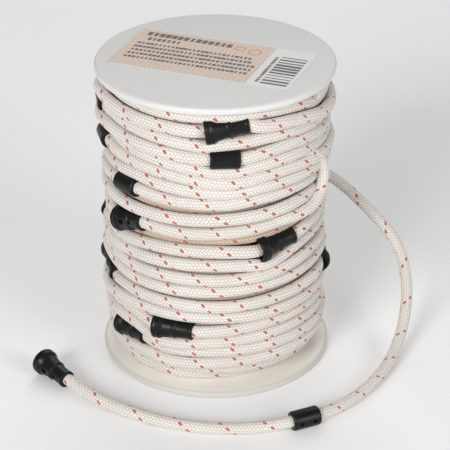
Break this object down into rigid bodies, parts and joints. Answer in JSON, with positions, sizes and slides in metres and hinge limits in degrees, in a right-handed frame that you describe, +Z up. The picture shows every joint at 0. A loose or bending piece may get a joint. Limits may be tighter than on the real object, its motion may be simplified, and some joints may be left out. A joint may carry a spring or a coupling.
{
  "type": "reel of starter cord",
  "caption": "Plastic reel wound with thin braided cord that carries black moulded bell and sleeve nipples, with a free cord end curling round its foot.",
  "frame": {"origin": "centre of the reel's foot, on the surface it stands on", "axes": "+Z up the reel's axis; the free cord end curls round the -Y side, and leaves the winding towards +X"},
  "size_m": [0.1589, 0.1211, 0.1287],
  "materials": {
    "reel_plastic_upper": "satin off-white polyethylene",
    "reel_plastic_lower": "satin translucent off-white polyethylene",
    "drum_plastic": "satin off-white polyethylene",
    "label_sheet": null,
    "cord_braid_inner": "braided synthetic cord in layers",
    "cord_braid": "sixteen-strand braid, white with one red tracer strand",
    "cord_braid_free": "sixteen-strand braid, white with one red tracer strand",
    "nipple_black": "satin moulded black"
  },
  "bodies": {
    "root": {"bottom_flange": "reel_plastic_lower", "top_flange": "reel_plastic_upper", "drum_tube": "drum_plastic", "label": "label_sheet", "winding_inner": "cord_braid_inner", "winding_outer_01": "cord_braid", "winding_outer_02": "cord_braid", "winding_outer_03": "cord_braid", "winding_outer_04": "cord_braid", "winding_outer_05": "cord_braid", "winding_outer_06": "cord_braid", "winding_outer_07": "cord_braid", "winding_outer_08": "cord_braid", "winding_outer_09": "cord_braid", "winding_outer_10": "cord_braid", "winding_outer_11": "cord_braid", "bell_front_top": "nipple_black", "bell_left_upper": "nipple_black", "bell_left_middle": "nipple_black", "bell_left_low": "nipple_black", "bell_front_low": "nipple_black", "bell_front_middle": "nipple_black", "bell_right_middle": "nipple_black", "bell_back_upper": "nipple_black", "bell_back_middle": "nipple_black", "bell_back_low": "nipple_black", "sleeve_front_upper": "nipple_black", "sleeve_left_top": "nipple_black", "sleeve_left_upper": "nipple_black", "sleeve_left_centre": "nipple_black", "sleeve_back_top": "nipple_black", "sleeve_back_right": "nipple_black", "sleeve_back_centre": "nipple_black", "sleeve_back_left": "nipple_black", "sleeve_back_low": "nipple_black", "free_cord": "cord_braid_free", "free_sleeve": "nipple_black", "free_bell": "nipple_black"}
  },
  "joints": []
}
